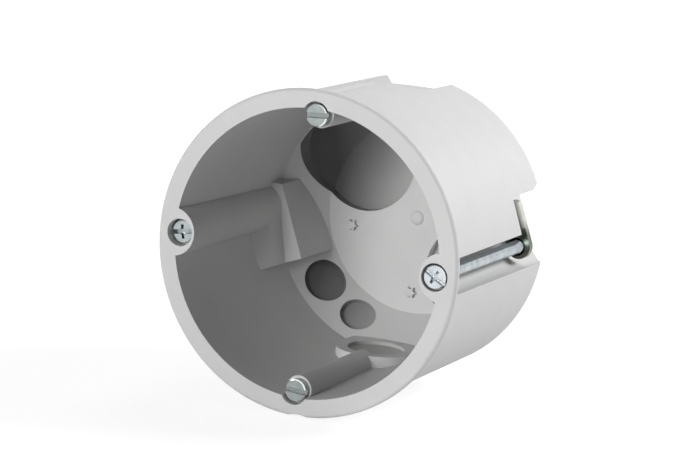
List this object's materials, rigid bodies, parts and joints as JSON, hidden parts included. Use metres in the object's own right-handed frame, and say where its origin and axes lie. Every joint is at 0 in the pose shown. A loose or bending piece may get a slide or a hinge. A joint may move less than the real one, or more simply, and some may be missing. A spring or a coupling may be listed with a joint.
{
  "type": "acoustic back box",
  "caption": "Round hollow-wall back box with a thin flange, thick sound-damping shell, swing-out claws on long screws, device screws and knock-out pockets.",
  "frame": {"origin": "centre of the mouth, in the front plane of the flange", "axes": "+Y along the box axis into the wall, +X towards the right claw screw, +Z towards the upper device screw"},
  "size_m": [0.071, 0.062, 0.071],
  "materials": {
    "shell": "matte light grey moulded plastic",
    "device_screw": "bright zinc plated steel",
    "claw_screw": "bright zinc plated steel",
    "claw": "passivated zinc plated steel"
  },
  "bodies": {
    "box": {"back_box": "shell"},
    "top_device_screw": {"device_screw_top": "device_screw"},
    "bottom_device_screw": {"device_screw_bottom": "device_screw"},
    "right_claw_screw": {"claw_screw_right": "claw_screw"},
    "left_claw_screw": {"claw_screw_left": "claw_screw"},
    "right_claw": {"claw_right": "claw"},
    "left_claw": {"claw_left": "claw"}
  },
  "joints": [
    {"name": "device_screw_top_travel", "type": "slide", "parent": "box", "child": "top_device_screw", "axis": [0, -1, 0], "range_m": [0, 0.012]},
    {"name": "device_screw_bottom_travel", "type": "slide", "parent": "box", "child": "bottom_device_screw", "axis": [0, -1, 0], "range_m": [0, 0.012]},
    {"name": "claw_screw_right_turn", "type": "hinge", "parent": "box", "child": "right_claw_screw", "pos_m": [0.0303, 0, 0], "axis": [0, 1, 0], "continuous": true},
    {"name": "claw_screw_left_turn", "type": "hinge", "parent": "box", "child": "left_claw_screw", "pos_m": [-0.0303, 0, 0], "axis": [0, 1, 0], "continuous": true},
    {"name": "claw_right_swing", "type": "hinge", "parent": "box", "child": "right_claw", "pos_m": [0.0303, 0.0447, 0], "axis": [0, 1, 0], "range_deg": [0, 120]},
    {"name": "claw_left_swing", "type": "hinge", "parent": "box", "child": "left_claw", "pos_m": [-0.0303, 0.0447, 0], "axis": [0, 1, 0], "range_deg": [0, 120]}
  ]
}
